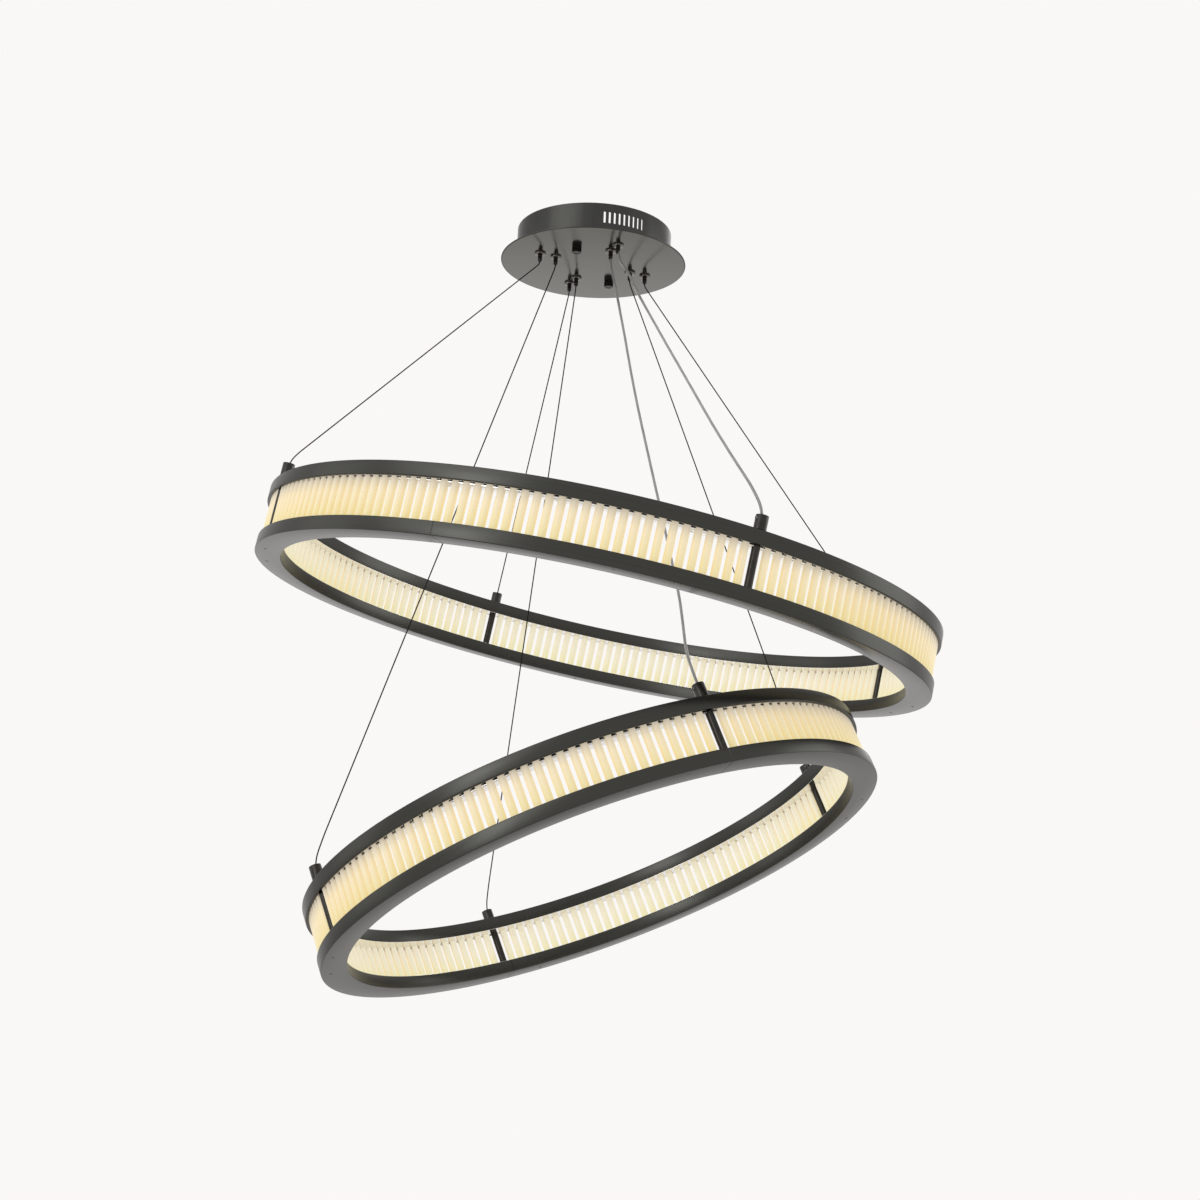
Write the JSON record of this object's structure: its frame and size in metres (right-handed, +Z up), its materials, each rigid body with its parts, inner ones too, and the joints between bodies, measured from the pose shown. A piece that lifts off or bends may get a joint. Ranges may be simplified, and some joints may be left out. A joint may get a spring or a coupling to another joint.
{
  "type": "ceiling chandelier",
  "caption": "LED ceiling chandelier: tilted rings of upright frosted light rods between dark metal channels, hung on steel wires from a round canopy.",
  "frame": {"origin": "middle of the two ceiling screws, in the ceiling plane, which is the top face of the mounting bracket and of the canopy rim", "axes": "+Z up into the ceiling, -Y towards the viewer of the picture, +X to the viewer's right; the lamp hangs along -Z"},
  "size_m": [0.8008, 0.8006, 0.9443],
  "materials": {
    "canopy_metal": "satin",
    "zinc_steel": "satin",
    "driver_case": "matte",
    "terminal_plastic": "satin",
    "fitting_metal": "satin",
    "wire_steel": "satin",
    "cord_clear": "gloss",
    "ring_metal": "satin",
    "rod_acrylic": "matte",
    "led_strip": "matte"
  },
  "bodies": {
    "canopy": {"ceiling_bracket": "zinc_steel", "canopy_studs": "zinc_steel", "canopy_drum": "canopy_metal", "canopy_plate": "canopy_metal", "led_driver": "driver_case", "terminal_block": "terminal_plastic", "cable_gripper_bodies": "fitting_metal", "cord_glands": "fitting_metal", "upper_wire_right": "wire_steel", "upper_wire_back": "wire_steel", "upper_wire_left": "wire_steel", "lower_wire_right": "wire_steel", "lower_wire_back": "wire_steel", "lower_wire_left": "wire_steel", "upper_power_cord": "cord_clear", "lower_power_cord": "cord_clear"},
    "upper_ring": {"upper_top_channel": "ring_metal", "upper_bottom_channel": "ring_metal", "upper_light_rods": "rod_acrylic", "upper_led_strips": "led_strip", "upper_posts": "ring_metal", "upper_bosses": "ring_metal"},
    "lower_ring": {"lower_top_channel": "ring_metal", "lower_bottom_channel": "ring_metal", "lower_light_rods": "rod_acrylic", "lower_led_strips": "led_strip", "lower_posts": "ring_metal", "lower_bosses": "ring_metal"},
    "upper_plunger_right": {"upper_plunger_right": "fitting_metal"},
    "upper_plunger_back": {"upper_plunger_back": "fitting_metal"},
    "upper_plunger_left": {"upper_plunger_left": "fitting_metal"},
    "lower_plunger_right": {"lower_plunger_right": "fitting_metal"},
    "lower_plunger_back": {"lower_plunger_back": "fitting_metal"},
    "lower_plunger_left": {"lower_plunger_left": "fitting_metal"},
    "canopy_nut_front": {"canopy_nut_front": "fitting_metal"},
    "canopy_nut_back": {"canopy_nut_back": "fitting_metal"}
  },
  "joints": [
    {"name": "upper_ring_height", "type": "slide", "parent": "canopy", "child": "upper_ring", "axis": [0, 0, 1], "range_m": [0, 0.15], "deforming": ["upper_wire_right", "upper_wire_back", "upper_wire_left", "upper_power_cord"]},
    {"name": "lower_ring_height", "type": "slide", "parent": "canopy", "child": "lower_ring", "axis": [0, 0, 1], "range_m": [0, 0.2], "deforming": ["lower_wire_right", "lower_wire_back", "lower_wire_left", "lower_power_cord"]},
    {"name": "upper_release_right", "type": "slide", "parent": "canopy", "child": "upper_plunger_right", "axis": [0, 0, 1], "range_m": [0, 0.0025], "stiffness_N_per_m": 600, "springref_m": -0.003},
    {"name": "upper_release_back", "type": "slide", "parent": "canopy", "child": "upper_plunger_back", "axis": [0, 0, 1], "range_m": [0, 0.0025], "stiffness_N_per_m": 600, "springref_m": -0.003},
    {"name": "upper_release_left", "type": "slide", "parent": "canopy", "child": "upper_plunger_left", "axis": [0, 0, 1], "range_m": [0, 0.0025], "stiffness_N_per_m": 600, "springref_m": -0.003},
    {"name": "lower_release_right", "type": "slide", "parent": "canopy", "child": "lower_plunger_right", "axis": [0, 0, 1], "range_m": [0, 0.0025], "stiffness_N_per_m": 600, "springref_m": -0.003},
    {"name": "lower_release_back", "type": "slide", "parent": "canopy", "child": "lower_plunger_back", "axis": [0, 0, 1], "range_m": [0, 0.0025], "stiffness_N_per_m": 600, "springref_m": -0.003},
    {"name": "lower_release_left", "type": "slide", "parent": "canopy", "child": "lower_plunger_left", "axis": [0, 0, 1], "range_m": [0, 0.0025], "stiffness_N_per_m": 600, "springref_m": -0.003},
    {"name": "canopy_nut_front_turn", "type": "hinge", "parent": "canopy", "child": "canopy_nut_front", "pos_m": [-0.02079, -0.05415, -0.04], "axis": [0, 0, 1], "continuous": true},
    {"name": "canopy_nut_back_turn", "type": "hinge", "parent": "canopy", "child": "canopy_nut_back", "pos_m": [0.02079, 0.05415, -0.04], "axis": [0, 0, 1], "continuous": true}
  ]
}
